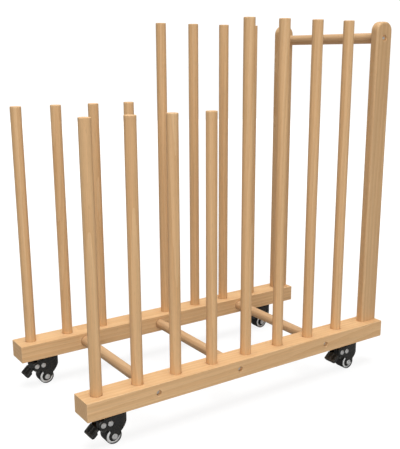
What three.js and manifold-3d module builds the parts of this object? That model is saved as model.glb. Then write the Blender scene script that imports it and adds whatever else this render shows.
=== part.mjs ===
// Wheeled rack for drying painted canvases: two wooden rails carry two rows of upright dowels,
// canvases stand in the slots between them, and two posts with a rod make a push handle.
// Three cross rods tie the rails together, and four swivel casters with brake pedals carry the rack.
// Millimetres, +Z up. The origin is on the floor under the middle of the rack.
// X runs along the rails towards the handle, and Y runs from the front rail to the back rail.

import * as THREE from 'three';
import { mergeVertices } from 'three/addons/utils/BufferGeometryUtils.js';
import Module from 'manifold-3d';

const wasm = await Module();
wasm.setup();

// Clearances
const FIT_GAP = 0.3; // between glued, screwed or riveted faces
const RUN_GAP = 0.3; // between faces that turn on each other

// Rails
const FRAME_DEPTH = 334.4; // over the outer faces of both rails
const RAIL_WIDTH = 48.4;
const RAIL_HEIGHT = 33.1;

// Dowels
const DOWEL_COUNT = 8; // in each rail
const SHORT_DOWEL_COUNT = 4; // counted from the end away from the handle
const DOWEL_DIAMETER = 20;
const DOWEL_PITCH = 76.2;
const FIRST_DOWEL_INSET = 28.3; // from the rail's end to the first dowel's centre
const SHORT_DOWEL_RISE = 446.6; // above the rail's top
const TALL_DOWEL_RISE = 596.2;
const DOWEL_HOLE_FLOOR = 9; // wood left under a dowel's hole
const DOWEL_CHAMFER = 1;

// Posts and handle
const POST_WIDTH = 40;
const POST_THICKNESS = 18;
const POST_RISE = 596.2;
const POST_CORNER_RADIUS = 17;
const POST_SPACING = 86.5; // from the last dowel's centre to the post's centre
const POST_END_MARGIN = 2.5; // from the post's edge to the rail's end
const TENON_WIDTH = 26;
const TENON_THICKNESS = 10;
const MORTISE_FLOOR = 10; // wood left under the mortise
const HANDLE_DROP = 29.7; // from the post's top to the handle's centre
const HANDLE_SOCKET_DEPTH = 6;

// Cross rods
const ROD_DIAMETER = 20; // cross rods and handle
const ROD_SLOTS = [1, 3, 6]; // the slots that the cross rods pass under, counted from 0
const ROD_OFFSET = 9.6; // from the middle of the slot to the rod's centre
const ROD_SOCKET_DEPTH = 12;

// Screws
const SCREW_DIAMETER = 4.5;
const SCREW_BITE = 22; // depth of thread in a rod's end
const SCREW_HEAD_HEIGHT = 3;
const SCREW_TIP_LENGTH = 5;
const SCREW_END_ROOM = 1; // spare depth of the pilot hole
const RAIL_SCREW_HEAD_DIAMETER = 8;
const RAIL_SCREW_SINK = 8; // depth of the counterbore
const HANDLE_SCREW_HEAD_DIAMETER = 9.5;
const HANDLE_SCREW_SINK = 4;
const SCREW_SINK_CLEARANCE = 0.9; // round the screw's head

// Caster wheels
const WHEEL_DIAMETER = 29;
const WHEEL_WIDTH = 23;
const WHEEL_SIDE_GAP = 0.8; // from the tyre to the fork's cheek
const TYRE_THICKNESS = 1.2; // outside the pale rim
const TYRE_SHOULDER = 0.8;
const RIM_RECESS = 0.4; // of the pale rim inside the tyre
const HUB_DIAMETER = 12;
const AXLE_DIAMETER = 6;
const AXLE_HEAD_DIAMETER = 10.6;
const AXLE_HEAD_HEIGHT = 1.4;

// Caster stems and forks
const CASTER_INSET = 66.4; // from the rail's end to the swivel axis
const CASTER_TRAIL = 14.2; // from the swivel axis back to the axle
const CASTER_HEAD_ROOM = 29.4; // from the top of the tyre to the rail
const STEM_DIAMETER = 8;
const STEM_HOLE_ROOF = 9; // wood left over the stem's hole
const STEM_CHAMFER = 1;
const COLLAR_DIAMETER = 24;
const COLLAR_THICKNESS = 4;
const KINGPIN_DIAMETER = 9;
const KINGPIN_HEAD_DIAMETER = 14;
const KINGPIN_HEAD_HEIGHT = 2.5;
const FORK_WALL = 1.7;
const FORK_ROOF = 3;
const FORK_ROOF_LENGTH = 16; // behind the swivel axis
const FORK_NOSE_DEPTH = 15.5; // height of the round front wall
const FORK_END_RADIUS = 9; // round end of the cheeks, about the pedal's rivet
const LEG_RADIUS = 5.4; // round foot of the cheeks, about the axle
const LEG_NOTCH_HEIGHT = 13.5; // from the axle up to the notch behind the leg
const LEG_NOTCH_SETBACK = 8.5; // from the axle back to the notch
const LEG_REACH = 11.5; // from the axle to the leg's front edge
const LEG_EDGE_HEIGHT = 6;

// Caster rivets and brake pedals
const RIVET_DIAMETER = 5;
const RIVET_HEAD_DIAMETER = 9.5;
const RIVET_HEAD_HEIGHT = 1.4;
const RIVET_RISE = 11.3; // from the top of the tyre to the rivets
const SPACER_RIVET_SETBACK = 6.6; // behind the axle
const RIVET_PITCH = 13; // from the spacer rivet back to the pedal's rivet
const PEDAL_SLOPE = 43; // degrees below level
const PEDAL_REACH = 28.2; // from the rivet to the pedal's end
const PEDAL_THICKNESS = 3.4;
const PEDAL_BARREL_WALL = 2;
const PEDAL_END_GAP = 0.8; // from the cheeks' round end to the wide plate
const PEDAL_SIDE_GAP = 0.4; // from the tongue to the cheeks
const SHOE_SETBACK = 20; // degrees from the line to the axle, at rest
const SHOE_SPREAD = 28; // degrees
const SHOE_WIDTH = 16;
const SHOE_GAP = 0.6; // to the tyre when the shoe points at the axle

// Facets
const ROUND_SIDES = 20;
const SMALL_SIDES = 10;
const PIN_SIDES = 14;
const WHEEL_SIDES = 24;
const ARC_STEPS = 6;

// Places along the rails, measured from the rail's end away from the handle
const POST_STATION = FIRST_DOWEL_INSET + (DOWEL_COUNT - 1) * DOWEL_PITCH + POST_SPACING;
const RAIL_LENGTH = POST_STATION + POST_WIDTH / 2 + POST_END_MARGIN;
const fromEnd = (station) => station - RAIL_LENGTH / 2;
const dowelX = (index) => fromEnd(FIRST_DOWEL_INSET + index * DOWEL_PITCH);
const POST_X = fromEnd(POST_STATION);
const CASTER_XS = {
  left: fromEnd(CASTER_INSET),
  right: fromEnd(RAIL_LENGTH - CASTER_INSET),
};
const ROD_XS = ROD_SLOTS.map((slot, order) => {
  const side = order % 2 === 0 ? -1 : 1;
  return dowelX(slot) + DOWEL_PITCH / 2 + side * ROD_OFFSET;
});

// Places across the rack and heights
const RAIL_Y = (FRAME_DEPTH - RAIL_WIDTH) / 2;
const RAIL_INNER_Y = RAIL_Y - RAIL_WIDTH / 2;
const RAIL_BOTTOM = WHEEL_DIAMETER + CASTER_HEAD_ROOM;
const RAIL_TOP = RAIL_BOTTOM + RAIL_HEIGHT;
const ROD_Z = RAIL_BOTTOM + RAIL_HEIGHT / 2;
const HANDLE_Z = RAIL_TOP + POST_RISE - HANDLE_DROP;
const ROWS = { front: -1, back: 1 };

// Places in a caster, from the point where its swivel axis meets the rail
const COLLAR_TOP = -FIT_GAP;
const COLLAR_BOTTOM = COLLAR_TOP - COLLAR_THICKNESS;
const FORK_TOP = COLLAR_BOTTOM - RUN_GAP;
const ROOF_BOTTOM = FORK_TOP - FORK_ROOF;
const KINGPIN_HEAD_TOP = ROOF_BOTTOM - RUN_GAP;
const CHEEK_INNER_Y = WHEEL_WIDTH / 2 + WHEEL_SIDE_GAP;
const CHEEK_OUTER_Y = CHEEK_INNER_Y + FORK_WALL;
const AXLE = { x: -CASTER_TRAIL, z: -CASTER_HEAD_ROOM - WHEEL_DIAMETER / 2 };
const SPACER_RIVET = { x: AXLE.x - SPACER_RIVET_SETBACK, z: -CASTER_HEAD_ROOM + RIVET_RISE };
const PEDAL_RIVET = { x: SPACER_RIVET.x - RIVET_PITCH, z: SPACER_RIVET.z };

const radians = THREE.MathUtils.degToRad;

// Solids and booleans

function toSolid(geometry) {
  const bare = geometry.clone();
  bare.deleteAttribute('normal');
  bare.deleteAttribute('uv');
  const merged = mergeVertices(bare, 1e-4);
  const corners = merged.index.array;
  const triVerts = [];
  for (let i = 0; i < corners.length; i += 3) {
    const [a, b, c] = corners.subarray(i, i + 3);
    if (a !== b && b !== c && c !== a) triVerts.push(a, b, c);
  }
  const vertProperties = new Float32Array(merged.attributes.position.array);
  return new wasm.Manifold(
    new wasm.Mesh({ numProp: 3, vertProperties, triVerts: new Uint32Array(triVerts) }),
  );
}

function toGeometry(solid) {
  const { vertProperties, triVerts } = solid.getMesh();
  const geometry = new THREE.BufferGeometry();
  geometry.setAttribute('position', new THREE.BufferAttribute(vertProperties, 3));
  geometry.setIndex(new THREE.BufferAttribute(triVerts, 1));
  geometry.computeVertexNormals();
  return geometry;
}

const join = (solids) => solids.reduce((whole, solid) => whole.add(solid));
const cut = (solid, tools) => tools.reduce((rest, tool) => rest.subtract(tool), solid);

// A box between two corners.
function box([x0, y0, z0], [x1, y1, z1]) {
  const geometry = new THREE.BoxGeometry(x1 - x0, y1 - y0, z1 - z0);
  geometry.translate((x0 + x1) / 2, (y0 + y1) / 2, (z0 + z1) / 2);
  return toSolid(geometry);
}

// A round bar along Z through x, y.
function barAlongZ(radius, x, y, z0, z1, sides = ROUND_SIDES) {
  const geometry = new THREE.CylinderGeometry(radius, radius, z1 - z0, sides);
  geometry.rotateX(Math.PI / 2);
  geometry.translate(x, y, (z0 + z1) / 2);
  return toSolid(geometry);
}

// A round bar along Y through x, z.
function barAlongY(radius, x, z, yA, yB, sides = ROUND_SIDES) {
  const geometry = new THREE.CylinderGeometry(radius, radius, Math.abs(yB - yA), sides);
  geometry.translate(x, (yA + yB) / 2, z);
  return toSolid(geometry);
}

// A solid turned about the Y axis from a profile of [radius, height] points.
function turned(profile, sides, startAngle = 0) {
  const points = profile.map(([radius, height]) => new THREE.Vector2(radius, height));
  return toSolid(new THREE.LatheGeometry(points, sides, startAngle));
}

const turnedAboutZ = (profile, sides) => turned(profile, sides).rotate([90, 0, 0]);

// A flat outline in X and Z, pushed along Y from -halfWidth to halfWidth.
function slab(shape, halfWidth) {
  const geometry = new THREE.ExtrudeGeometry(shape, {
    depth: 2 * halfWidth,
    bevelEnabled: false,
    curveSegments: ARC_STEPS,
  });
  geometry.rotateX(Math.PI / 2);
  geometry.translate(0, halfWidth, 0);
  return toSolid(geometry);
}

// A flat outline in X and Y, pushed up from z0 to z1.
function column(shape, z0, z1) {
  const geometry = new THREE.ExtrudeGeometry(shape, {
    depth: z1 - z0,
    bevelEnabled: false,
    curveSegments: ARC_STEPS,
  });
  geometry.translate(0, 0, z0);
  return toSolid(geometry);
}

// Materials

const material = (color, roughness, metalness) =>
  new THREE.MeshStandardMaterial({ color, roughness, metalness });
const wood = () => material('#cfa472', 0.6, 0);
const blackPaint = () => material('#1d1d1b', 0.4, 0.1);
const steel = () => material('#a3a39f', 0.35, 0.9);
const wheelPlastic = () => material('#2b2b29', 0.6, 0);

function piece(name, solid, finish) {
  const mesh = new THREE.Mesh(toGeometry(solid), finish);
  mesh.name = name;
  return mesh;
}

// Wooden pieces, at their places in the rack. The outward sign is -1 for the front row.

const overcut = 1; // how far a cutting tool stands out of the face that it enters

function railScrewHole(x, outward) {
  const outerFace = outward * (RAIL_Y + RAIL_WIDTH / 2);
  const sinkFloor = outerFace - outward * RAIL_SCREW_SINK;
  const socketFloor = outward * (RAIL_INNER_Y + ROD_SOCKET_DEPTH);
  const sinkRadius = RAIL_SCREW_HEAD_DIAMETER / 2 + SCREW_SINK_CLEARANCE;
  const shankRadius = SCREW_DIAMETER / 2 + FIT_GAP;
  return [
    barAlongY(sinkRadius, x, ROD_Z, outerFace + outward * overcut, sinkFloor, SMALL_SIDES),
    barAlongY(shankRadius, x, ROD_Z, sinkFloor + outward * overcut, socketFloor - outward * overcut, SMALL_SIDES),
  ];
}

function rail(outward) {
  const y = outward * RAIL_Y;
  const blank = box(
    [-RAIL_LENGTH / 2, y - RAIL_WIDTH / 2, RAIL_BOTTOM],
    [RAIL_LENGTH / 2, y + RAIL_WIDTH / 2, RAIL_TOP],
  );
  const holes = [];
  for (let index = 0; index < DOWEL_COUNT; index += 1) {
    const floor = RAIL_BOTTOM + DOWEL_HOLE_FLOOR;
    holes.push(barAlongZ(DOWEL_DIAMETER / 2 + FIT_GAP, dowelX(index), y, floor, RAIL_TOP + overcut));
  }
  const mortiseX = TENON_WIDTH / 2 + FIT_GAP;
  const mortiseY = TENON_THICKNESS / 2 + FIT_GAP;
  holes.push(box(
    [POST_X - mortiseX, y - mortiseY, RAIL_BOTTOM + MORTISE_FLOOR],
    [POST_X + mortiseX, y + mortiseY, RAIL_TOP + overcut],
  ));
  for (const x of ROD_XS) {
    const socketMouth = outward * (RAIL_INNER_Y - overcut);
    const socketFloor = outward * (RAIL_INNER_Y + ROD_SOCKET_DEPTH);
    holes.push(barAlongY(ROD_DIAMETER / 2 + FIT_GAP, x, ROD_Z, socketMouth, socketFloor));
    holes.push(...railScrewHole(x, outward));
  }
  for (const x of Object.values(CASTER_XS)) {
    const radius = STEM_DIAMETER / 2 + FIT_GAP;
    holes.push(barAlongZ(radius, x, y, RAIL_BOTTOM - overcut, RAIL_TOP - STEM_HOLE_ROOF, SMALL_SIDES));
  }
  return cut(blank, holes);
}

function dowel(index, outward) {
  const foot = RAIL_BOTTOM + DOWEL_HOLE_FLOOR + FIT_GAP;
  const top = RAIL_TOP + (index < SHORT_DOWEL_COUNT ? SHORT_DOWEL_RISE : TALL_DOWEL_RISE);
  const radius = DOWEL_DIAMETER / 2;
  const profile = [
    [0, foot],
    [radius, foot],
    [radius, top - DOWEL_CHAMFER],
    [radius - DOWEL_CHAMFER, top],
    [0, top],
  ];
  return turnedAboutZ(profile, ROUND_SIDES).translate([dowelX(index), outward * RAIL_Y, 0]);
}

function post(outward) {
  const foot = RAIL_TOP + FIT_GAP;
  const top = RAIL_TOP + POST_RISE;
  const half = POST_WIDTH / 2;
  const face = new THREE.Shape();
  face.moveTo(POST_X - half, foot);
  face.lineTo(POST_X + half, foot);
  face.absarc(POST_X + half - POST_CORNER_RADIUS, top - POST_CORNER_RADIUS, POST_CORNER_RADIUS, 0, Math.PI / 2);
  face.absarc(
    POST_X - half + POST_CORNER_RADIUS,
    top - POST_CORNER_RADIUS,
    POST_CORNER_RADIUS,
    Math.PI / 2,
    Math.PI,
  );
  const board = slab(face, POST_THICKNESS / 2).translate([0, outward * RAIL_Y, 0]);
  const tenon = box(
    [POST_X - TENON_WIDTH / 2, outward * RAIL_Y - TENON_THICKNESS / 2, RAIL_BOTTOM + MORTISE_FLOOR + FIT_GAP],
    [POST_X + TENON_WIDTH / 2, outward * RAIL_Y + TENON_THICKNESS / 2, foot + overcut],
  );
  const innerFace = outward * (RAIL_Y - POST_THICKNESS / 2);
  const outerFace = outward * (RAIL_Y + POST_THICKNESS / 2);
  const socketFloor = innerFace + outward * HANDLE_SOCKET_DEPTH;
  const sinkFloor = outerFace - outward * HANDLE_SCREW_SINK;
  const sinkRadius = HANDLE_SCREW_HEAD_DIAMETER / 2 + SCREW_SINK_CLEARANCE;
  const shankRadius = SCREW_DIAMETER / 2 + FIT_GAP;
  return cut(join([board, tenon]), [
    barAlongY(ROD_DIAMETER / 2 + FIT_GAP, POST_X, HANDLE_Z, innerFace - outward * overcut, socketFloor),
    barAlongY(sinkRadius, POST_X, HANDLE_Z, outerFace + outward * overcut, sinkFloor, SMALL_SIDES),
    barAlongY(shankRadius, POST_X, HANDLE_Z, sinkFloor + outward * overcut, innerFace, SMALL_SIDES),
  ]);
}

// A round rod between two sockets, with a pilot hole in each end.
function rod(x, z, socketFloorY) {
  const endY = socketFloorY - FIT_GAP;
  const holes = Object.values(ROWS).map((outward) => {
    const depth = SCREW_BITE + SCREW_END_ROOM;
    const radius = SCREW_DIAMETER / 2 + FIT_GAP;
    return barAlongY(radius, x, z, outward * (endY + overcut), outward * (endY - depth), SMALL_SIDES);
  });
  return cut(barAlongY(ROD_DIAMETER / 2, x, z, -endY, endY), holes);
}

// A screw along Y whose head faces outward and sits on the floor of its counterbore.
function screw(x, z, sinkFloorY, headDiameter, shankLength, outward) {
  const shank = SCREW_DIAMETER / 2;
  const profile = [
    [0, -shankLength],
    [shank, -shankLength + SCREW_TIP_LENGTH],
    [shank, 0],
    [headDiameter / 2, 0],
    [headDiameter / 2, SCREW_HEAD_HEIGHT],
    [0, SCREW_HEAD_HEIGHT],
  ];
  const upright = turned(profile, SMALL_SIDES);
  const facing = outward > 0 ? upright : upright.rotate([180, 0, 0]);
  return facing.translate([x, outward * (sinkFloorY + FIT_GAP), z]);
}

function railScrew(x, outward) {
  const sinkFloorY = RAIL_Y + RAIL_WIDTH / 2 - RAIL_SCREW_SINK;
  const socketFloorY = RAIL_INNER_Y + ROD_SOCKET_DEPTH;
  const length = sinkFloorY - socketFloorY + SCREW_BITE;
  return screw(x, ROD_Z, sinkFloorY, RAIL_SCREW_HEAD_DIAMETER, length, outward);
}

function handleScrew(outward) {
  const sinkFloorY = RAIL_Y + POST_THICKNESS / 2 - HANDLE_SCREW_SINK;
  const socketFloorY = RAIL_Y - POST_THICKNESS / 2 + HANDLE_SOCKET_DEPTH;
  const length = sinkFloorY - socketFloorY + SCREW_BITE;
  return screw(POST_X, HANDLE_Z, sinkFloorY, HANDLE_SCREW_HEAD_DIAMETER, length, outward);
}

// Caster pieces, about the point where the swivel axis meets the rail

// The stem stands in the rail, and its kingpin below the collar holds the fork's roof.
function casterStem() {
  const headBottom = KINGPIN_HEAD_TOP - KINGPIN_HEAD_HEIGHT;
  const stemTop = RAIL_HEIGHT - STEM_HOLE_ROOF - FIT_GAP;
  const profile = [
    [0, headBottom],
    [KINGPIN_HEAD_DIAMETER / 2, headBottom],
    [KINGPIN_HEAD_DIAMETER / 2, KINGPIN_HEAD_TOP],
    [KINGPIN_DIAMETER / 2, KINGPIN_HEAD_TOP],
    [KINGPIN_DIAMETER / 2, COLLAR_BOTTOM],
    [COLLAR_DIAMETER / 2, COLLAR_BOTTOM],
    [COLLAR_DIAMETER / 2, COLLAR_TOP],
    [STEM_DIAMETER / 2, COLLAR_TOP],
    [STEM_DIAMETER / 2, stemTop - STEM_CHAMFER],
    [STEM_DIAMETER / 2 - STEM_CHAMFER, stemTop],
    [0, stemTop],
  ];
  return turnedAboutZ(profile, PIN_SIDES);
}

// The fork seen from above: straight cheeks and a half-round nose about the swivel axis.
function forkPlan(halfWidth, rear) {
  const plan = new THREE.Shape();
  plan.moveTo(-rear, -halfWidth);
  plan.lineTo(0, -halfWidth);
  plan.absarc(0, 0, halfWidth, -Math.PI / 2, Math.PI / 2);
  plan.lineTo(-rear, halfWidth);
  return plan;
}

// The fork seen from the side: a round end about the pedal's rivet and a leg down to the axle.
function forkSide() {
  const front = CHEEK_OUTER_Y + overcut;
  const side = new THREE.Shape();
  side.moveTo(front, FORK_TOP);
  side.lineTo(-FORK_ROOF_LENGTH, FORK_TOP);
  side.absarc(PEDAL_RIVET.x, PEDAL_RIVET.z, FORK_END_RADIUS, radians(110), radians(280));
  side.lineTo(AXLE.x - LEG_NOTCH_SETBACK, AXLE.z + LEG_NOTCH_HEIGHT);
  side.absarc(AXLE.x, AXLE.z, LEG_RADIUS, radians(180), radians(290));
  side.lineTo(AXLE.x + LEG_REACH, AXLE.z);
  side.lineTo(AXLE.x + LEG_REACH, AXLE.z + LEG_EDGE_HEIGHT);
  side.lineTo(front, FORK_TOP - FORK_NOSE_DEPTH);
  return side;
}

function casterFork() {
  const rear = FORK_END_RADIUS - PEDAL_RIVET.x + overcut;
  const foot = AXLE.z - LEG_RADIUS - overcut;
  const outer = column(forkPlan(CHEEK_OUTER_Y, rear), foot, FORK_TOP + overcut);
  const inner = column(forkPlan(CHEEK_INNER_Y, rear + overcut), foot - overcut, FORK_TOP + 2 * overcut);
  const walls = outer.subtract(inner).intersect(slab(forkSide(), CHEEK_OUTER_Y + overcut));
  const roof = column(forkPlan(CHEEK_OUTER_Y, FORK_ROOF_LENGTH), ROOF_BOTTOM, FORK_TOP);
  const pinHole = (place, diameter) =>
    barAlongY(diameter / 2 + FIT_GAP, place.x, place.z, -CHEEK_OUTER_Y - overcut, CHEEK_OUTER_Y + overcut, SMALL_SIDES);
  return cut(join([walls, roof]), [
    barAlongZ(KINGPIN_DIAMETER / 2 + RUN_GAP, 0, 0, ROOF_BOTTOM - overcut, FORK_TOP + overcut, PIN_SIDES),
    pinHole(AXLE, AXLE_DIAMETER),
    pinHole(SPACER_RIVET, RIVET_DIAMETER),
    pinHole(PEDAL_RIVET, RIVET_DIAMETER),
  ]);
}

// A pin across the fork with a domed head outside each cheek.
function headedPin(place, diameter, headDiameter, headHeight) {
  const headInner = CHEEK_OUTER_Y + FIT_GAP;
  const headOuter = headInner + headHeight;
  const half = [
    [diameter / 2, headInner],
    [headDiameter / 2, headInner],
    [headDiameter / 2 - headHeight / 2, headOuter],
    [0, headOuter],
  ];
  const mirrored = half.map(([radius, y]) => [radius, -y]).reverse();
  return turned([...mirrored, ...half], SMALL_SIDES).translate([place.x, 0, place.z]);
}

// The wheel stands on one of its tread's facets, which all lie on the wheel's true radius.
function casterWheel() {
  const tread = WHEEL_DIAMETER / 2 / Math.cos(Math.PI / WHEEL_SIDES);
  const side = WHEEL_WIDTH / 2;
  const rimOuter = WHEEL_DIAMETER / 2 - TYRE_THICKNESS;
  const hub = HUB_DIAMETER / 2;
  const hubEnd = CHEEK_INNER_Y - RUN_GAP;
  const bore = AXLE_DIAMETER / 2 + RUN_GAP;
  const half = [
    [tread, side - TYRE_SHOULDER],
    [tread - TYRE_SHOULDER, side],
    [rimOuter, side],
    [rimOuter, side - RIM_RECESS],
    [hub, side - RIM_RECESS],
    [hub, hubEnd],
    [bore, hubEnd],
  ];
  const mirrored = half.map(([radius, y]) => [radius, -y]).reverse();
  const profile = [...mirrored, ...half, mirrored[0]];
  return turned(profile, WHEEL_SIDES, Math.PI / WHEEL_SIDES).translate([AXLE.x, 0, AXLE.z]);
}

// The pedal turns on its rivet: a barrel and tongue between the cheeks, a wide plate behind them,
// and a shoe that swings towards the tyre when the plate is pressed down.
function brakePedal() {
  const barrel = RIVET_DIAMETER / 2 + RUN_GAP + PEDAL_BARREL_WALL;
  const plateTop = barrel - RUN_GAP;
  const plateBottom = plateTop - PEDAL_THICKNESS;
  const tongueWidth = CHEEK_INNER_Y - PEDAL_SIDE_GAP;
  const plateStart = FORK_END_RADIUS + PEDAL_END_GAP;
  const tongue = box([-plateStart - overcut, -tongueWidth, plateBottom], [0, tongueWidth, plateTop]);
  const plate = box([-PEDAL_REACH, -CHEEK_OUTER_Y, plateBottom], [-plateStart, CHEEK_OUTER_Y, plateTop]);
  const lever = join([tongue, plate]).rotate([0, -PEDAL_SLOPE, 0]);

  const toAxle = { x: AXLE.x - PEDAL_RIVET.x, z: AXLE.z - PEDAL_RIVET.z };
  const shoeReach = Math.hypot(toAxle.x, toAxle.z) - WHEEL_DIAMETER / 2 - SHOE_GAP;
  const shoeAngle = Math.atan2(toAxle.z, toAxle.x) - radians(SHOE_SETBACK);
  const shoeHalf = radians(SHOE_SPREAD / 2);
  const wedge = new THREE.Shape();
  wedge.moveTo(0, 0);
  wedge.lineTo(shoeReach * Math.cos(shoeAngle - shoeHalf), shoeReach * Math.sin(shoeAngle - shoeHalf));
  wedge.absarc(0, 0, shoeReach, shoeAngle - shoeHalf, shoeAngle + shoeHalf);
  const shoe = slab(wedge, SHOE_WIDTH / 2);

  const whole = join([lever, barAlongY(barrel, 0, 0, -tongueWidth, tongueWidth, PIN_SIDES), shoe]);
  const bore = RIVET_DIAMETER / 2 + RUN_GAP;
  const bored = whole.subtract(
    barAlongY(bore, 0, 0, -tongueWidth - overcut, tongueWidth + overcut, SMALL_SIDES),
  );
  return bored.translate([PEDAL_RIVET.x, 0, PEDAL_RIVET.z]);
}

function caster(name) {
  const group = new THREE.Group();
  group.add(
    piece(`${name}_stem`, casterStem(), steel()),
    piece(`${name}_fork`, casterFork(), blackPaint()),
    piece(`${name}_wheel`, casterWheel(), wheelPlastic()),
    piece(`${name}_axle`, headedPin(AXLE, AXLE_DIAMETER, AXLE_HEAD_DIAMETER, AXLE_HEAD_HEIGHT), steel()),
    piece(`${name}_brake_pedal`, brakePedal(), blackPaint()),
    piece(
      `${name}_pedal_rivet`,
      headedPin(PEDAL_RIVET, RIVET_DIAMETER, RIVET_HEAD_DIAMETER, RIVET_HEAD_HEIGHT),
      steel(),
    ),
    piece(
      `${name}_spacer_rivet`,
      headedPin(SPACER_RIVET, RIVET_DIAMETER, RIVET_HEAD_DIAMETER, RIVET_HEAD_HEIGHT),
      steel(),
    ),
  );
  return group;
}

// The whole rack

const rack = new THREE.Group();

for (const [row, outward] of Object.entries(ROWS)) {
  rack.add(piece(`${row}_rail`, rail(outward), wood()));
  for (let index = 0; index < DOWEL_COUNT; index += 1) {
    rack.add(piece(`${row}_dowel_${index + 1}`, dowel(index, outward), wood()));
  }
  rack.add(piece(`${row}_post`, post(outward), wood()));
  rack.add(piece(`${row}_handle_screw`, handleScrew(outward), steel()));
  ROD_XS.forEach((x, order) => {
    rack.add(piece(`${row}_rod_screw_${order + 1}`, railScrew(x, outward), steel()));
  });
  for (const [end, x] of Object.entries(CASTER_XS)) {
    const group = caster(`${row}_${end}_caster`);
    group.position.set(x, outward * RAIL_Y, RAIL_BOTTOM);
    rack.add(group);
  }
}

ROD_XS.forEach((x, order) => {
  rack.add(piece(`cross_rod_${order + 1}`, rod(x, ROD_Z, RAIL_INNER_Y + ROD_SOCKET_DEPTH), wood()));
});
const handleSocketFloor = RAIL_Y - POST_THICKNESS / 2 + HANDLE_SOCKET_DEPTH;
rack.add(piece('handle_rod', rod(POST_X, HANDLE_Z, handleSocketFloor), wood()));

export default rack;
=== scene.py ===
"""Looks of the canvas drying rack: wooden rails, dowels, posts and rods on four braked casters.

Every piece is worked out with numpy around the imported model, in metres, with its place in its mesh.
"""

import bpy
import numpy as np
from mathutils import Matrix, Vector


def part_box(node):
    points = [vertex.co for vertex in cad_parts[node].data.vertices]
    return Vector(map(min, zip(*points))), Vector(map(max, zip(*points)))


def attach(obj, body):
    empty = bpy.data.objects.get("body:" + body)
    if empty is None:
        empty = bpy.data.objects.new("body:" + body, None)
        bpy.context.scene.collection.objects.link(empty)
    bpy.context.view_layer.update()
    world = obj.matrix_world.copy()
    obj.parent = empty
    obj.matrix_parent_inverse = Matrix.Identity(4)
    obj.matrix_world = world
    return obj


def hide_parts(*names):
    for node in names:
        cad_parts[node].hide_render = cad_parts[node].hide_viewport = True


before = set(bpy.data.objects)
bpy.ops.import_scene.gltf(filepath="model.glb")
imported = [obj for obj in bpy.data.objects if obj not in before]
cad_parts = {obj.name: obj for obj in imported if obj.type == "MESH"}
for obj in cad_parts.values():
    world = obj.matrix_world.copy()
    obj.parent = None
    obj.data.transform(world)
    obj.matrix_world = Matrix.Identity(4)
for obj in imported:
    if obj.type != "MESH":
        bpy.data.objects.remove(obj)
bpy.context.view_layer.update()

ROWS = {"front": -1, "back": 1}
ENDS = ("left", "right")
DOWELS = range(1, 9)
RODS = (1, 2, 3)
Y_AXIS, Z_AXIS = 1, 2

# Points closer than this count as one
SAME_PLACE = 1e-6

# Measures of the wooden pieces
FIT_GAP = 0.0003
WOOD_ROUNDING = 0.0009
WOOD_WEAR_BAND = 0.0022
BAR_END_ROUNDING = 0.0004
DOWEL_TOP_ROUNDING = 0.0013
DOWEL_WEAR = 0.0014
DOWEL_WEAR_END = 0.004
HOLE_SHOWN_DEPTH = 0.004
HOLE_RIM = 0.0006
POST_CORNER = 0.017
POST_ROUNDING = 0.0042
POST_FLAT_BAND = 0.0004
POST_WEAR = 0.3
SINK_CLEARANCE = 0.0009
RAIL_SCREW_SINK = 0.008
HANDLE_SCREW_SINK = 0.004

# Half side of the grid cell round a hole, in radii of the hole, and grid steps for each radius
HOLE_CELL = 1.36
HOLE_STEPS = 4.5

# Sides of turned pieces
BAR_SIDES, PIN_SIDES, WHEEL_SIDES, FINE_SIDES = 56, 40, 72, 96

# Measures of the screws, along their axis from the underside of the head
SCREW_HEAD = 0.003
SCREW_SHANK = 0.00225
SCREW_TIP, SCREW_TAPER = -0.02, -0.015
RECESS_SLOT, RECESS_FLOOR_SLOT = 0.00055, 0.0004
RECESS_LIP = 0.0002
HANDLE_HEAD_SHARE = 0.6
HANDLE_HEAD = 0.0016

# Measures of a caster, from the point where its swivel axis meets the rail
STEM_RADIUS = 0.004
COLLAR_RADIUS = 0.012
COLLAR_BOTTOM = -0.0043
KINGPIN_RADIUS = 0.0045
KINGPIN_HEAD_RADIUS, KINGPIN_HEAD = 0.007, 0.0025
FORK_TOP = -0.0046
FORK_ROOF = 0.003
FORK_END_RADIUS = 0.009
FORK_SHOULDER = 0.003
ROOF_REAR = -0.016
ROOF_OVERLAP = 0.0006
CHEEK_INNER, CHEEK_OUTER = 0.0123, 0.014
AXLE = np.array([-0.0142, -0.0439])
SPACER_RIVET = np.array([-0.0208, -0.0181])
PEDAL_RIVET = np.array([-0.0338, -0.0181])
NOSE_TOP = np.array([0.015, FORK_TOP - 0.0155])
NOSE_FOOT = AXLE + [0.0115, 0.006]
NOTCH = AXLE + [-0.0085, 0.0135]
LEG_RADIUS = 0.0052
LEG_RISE = 0.001
SHEET_ROUNDING = 0.0006

# Shank radius, head radius and head height of the pins
AXLE_PIN = (0.003, 0.0053, 0.0014)
RIVET_PIN = (0.0025, 0.00475, 0.0014)

# Measures of a wheel, from its middle
WHEEL_RADIUS = 0.0145
WHEEL_SIDE = 0.0115
TREAD_HALF, TREAD_CROWN = 0.0098, 0.0003
TYRE_SEAT, TYRE_SEAT_HALF = 0.0008, 0.004
RIM_OUTER, RIM_INNER = 0.0137, 0.0095
RIM_LIP, RIM_SEAT = WHEEL_SIDE - 0.0002, WHEEL_SIDE - 0.0022
RIM_LIP_WIDTH, RIM_WAIST = 0.0008, 0.0006
HUB_BORE, HUB_BOSS = 0.0033, 0.006
HUB_WEB = RIM_SEAT
SPOKES, SPOKE_RISE = 6, 0.0014

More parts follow.
